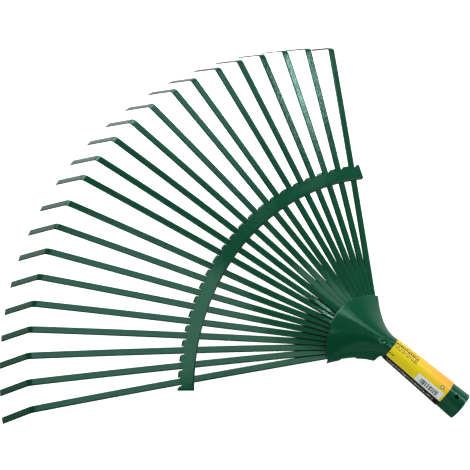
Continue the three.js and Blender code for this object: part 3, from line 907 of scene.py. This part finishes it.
class RAKE_OT_label(bpy.types.Operator):
    """Wrap the printed label round the socket"""

    bl_idname = "rake.label"
    bl_label = "Label"

    def execute(self, context):
        run = SOCKET_LENGTH - NECK_DISTANCE
        half = LABEL_SHEET / 2
        share = bunched(LABEL_FROM, LABEL_TO, LABEL_STEPS[0], half / run)[:, None]
        turn = bunched(-LABEL_HALF_WRAP, LABEL_HALF_WRAP, LABEL_STEPS[1], half / MOUTH_RADIUS)[None, :]
        offset = HUB_SHEET / 2 + LABEL_GAP + half
        share, turn = np.broadcast_arrays(share, turn)
        points, faces, used = sheet_mesh(socket_point(share, turn, offset)[:, ::-1], LABEL_SHEET)
        piece = show_piece(
            "printed_label", points, faces.tolist(), "printed_label", shared(label_paper), "label_sleeve"
        )
        print_place = spread(share * run, turn[:, ::-1] * MOUTH_RADIUS, 0).reshape(-1, 3)
        write_values(piece, "print_place", "FLOAT_VECTOR", np.tile(print_place, (2, 1))[used])
        return {"FINISHED"}


# ---- Stage --------------------------------------------------------------------------------------


def studio_walls():
    """Dim room whose walls are brighter in a band by the horizon, and most towards -Y. Height is the sine
    of elevation, and ahead its counterpart along Y."""
    world = bpy.data.worlds.new("studio_walls")
    world.use_nodes = True
    view = add(world, "ShaderNodeTexCoord")
    axes = add(world, "ShaderNodeSeparateXYZ", Vector=view.outputs["Generated"])
    ahead, height = axes.outputs["Y"], axes.outputs["Z"]
    rise = add(world, "ShaderNodeMapRange", {1: -0.95, 2: -0.55, 3: 0.05, 4: 0.8}, _0=height)
    fall = add(world, "ShaderNodeMapRange", {1: 0.1, 2: 0.45, 3: 1.0, 4: 0.2}, _0=height)
    near = add(world, "ShaderNodeMapRange", {1: -0.3, 2: 0.5, 3: 1.0, 4: 0.15}, _0=ahead)
    band = add(world, "ShaderNodeMath", {"operation": "MULTIPLY"}, _0=rise.outputs[0], _1=fall.outputs[0])
    glow = add(world, "ShaderNodeMath", {"operation": "MULTIPLY"}, _0=band.outputs[0], _1=near.outputs[0])
    link(world, glow.outputs[0], world.node_tree.nodes["Background"].inputs["Strength"])
    world.node_tree.nodes["Background"].inputs["Color"].default_value = (1, 1, 1, 1)
    return world


def direction(azimuth, elevation):
    """Unit vector from the object: azimuth 0 is towards -Y, 90 towards +X."""
    return Vector((sin(azimuth) * cos(elevation), -cos(azimuth) * cos(elevation), sin(elevation)))


def area_light(name, azimuth, elevation, size, radiance, tone):
    """Square soft box that stands off the head's middle and faces it. Its power is pi times its area
    times its radiance."""
    data = bpy.data.lights.new(name, "AREA")
    data.shape = "SQUARE"
    data.size = size
    data.energy = pi * size**2 * radiance
    data.color = tone
    lamp = bpy.data.objects.new(name, data)
    back = direction(azimuth, elevation)
    lamp.location = back * LAMP_DISTANCE
    lamp.rotation_euler = back.to_track_quat("Z", "Y").to_euler()
    bpy.context.scene.collection.objects.link(lamp)


class RAKE_OT_stage(bpy.types.Operator):
    """Set up the floor, lights and camera"""

    bl_idname = "rake.stage"
    bl_label = "Stage"

    def execute(self, context):
        stage = context.scene.rake_stage
        data = bpy.data.cameras.new("camera")
        data.lens = stage.lens
        data.sensor_width = 36
        data.clip_end = 100
        camera = bpy.data.objects.new("camera", data)
        back = direction(stage.azimuth, stage.elevation)
        right = Vector((0, 0, 1)).cross(back).normalized()
        level = back.cross(right)
        up = level * cos(stage.roll) + right * sin(stage.roll)
        right = up.cross(back)
        turn = Matrix((right, up, back)).transposed().to_4x4()
        camera.matrix_world = Matrix.Translation(Vector(stage.aim) + back * stage.distance) @ turn
        context.scene.collection.objects.link(camera)
        context.scene.camera = camera

        floor_mesh = bpy.data.meshes.new("floor")
        signs = ((-1, -1), (1, -1), (1, 1), (-1, 1))
        corners = [(x * FLOOR_HALF_SIDE, y * FLOOR_HALF_SIDE, 0) for x, y in signs]
        floor_mesh.from_pydata(corners, [], [(0, 1, 2, 3)])
        floor = bpy.data.objects.new("floor", floor_mesh)
        context.scene.collection.objects.link(floor)
        # Opal acrylic table lit from below: white all over, and shadows on it fade out.
        paper, _ = new_material(
            "opal_acrylic_table",
            Base_Color=(*context.scene.rake_colours.floor, 1),
            Roughness=0.9,
            Emission_Color=(1, 1, 1, 1),
            Emission_Strength=0.9,
        )
        floor_mesh.materials.append(paper)
        floor.visible_glossy = False  # a polariser takes the table's own shine out of the enamel

        context.scene.world = studio_walls()
        for name, azimuth, elevation, *light in LAMPS:
            area_light(name, radians(azimuth), radians(elevation), *light)
        context.scene.view_settings.view_transform = "Standard"
        return {"FINISHED"}


class RAKE_PT_head(bpy.types.Panel):
    """Buttons that build the rake head piece by piece"""

    bl_idname = "RAKE_PT_head"
    bl_label = "Leaf Rake Head"
    bl_space_type = "VIEW_3D"
    bl_region_type = "UI"
    bl_category = "Leaf Rake"

    def draw(self, context):
        for operator in OPERATORS:
            self.layout.operator(operator.bl_idname)
        for group in (context.scene.rake_sizes, context.scene.rake_colours, context.scene.rake_stage):
            for name in group.__annotations__:
                self.layout.prop(group, name)


GROUPS = {"rake_sizes": RakeSizes, "rake_colours": RakeColours, "rake_stage": RakeStage}
OPERATORS = (
    RAKE_OT_stage,
    RAKE_OT_tines,
    RAKE_OT_spacer_bar,
    RAKE_OT_hub,
    RAKE_OT_plate,
    RAKE_OT_label,
)


def register():
    for item in (*GROUPS.values(), *OPERATORS, RAKE_PT_head):
        bpy.utils.register_class(item)
    for name, group in GROUPS.items():
        setattr(bpy.types.Scene, name, PointerProperty(type=group))


def unregister():
    for name in GROUPS:
        delattr(bpy.types.Scene, name)
    for item in (RAKE_PT_head, *OPERATORS[::-1], *GROUPS.values()):
        bpy.utils.unregister_class(item)


def main():
    register()
    bpy.ops.rake.stage()
    bpy.ops.rake.tines()
    bpy.ops.rake.spacer_bar()
    bpy.ops.rake.hub()
    bpy.ops.rake.plate()
    bpy.ops.rake.label()


if __name__ == "__main__":
    main()
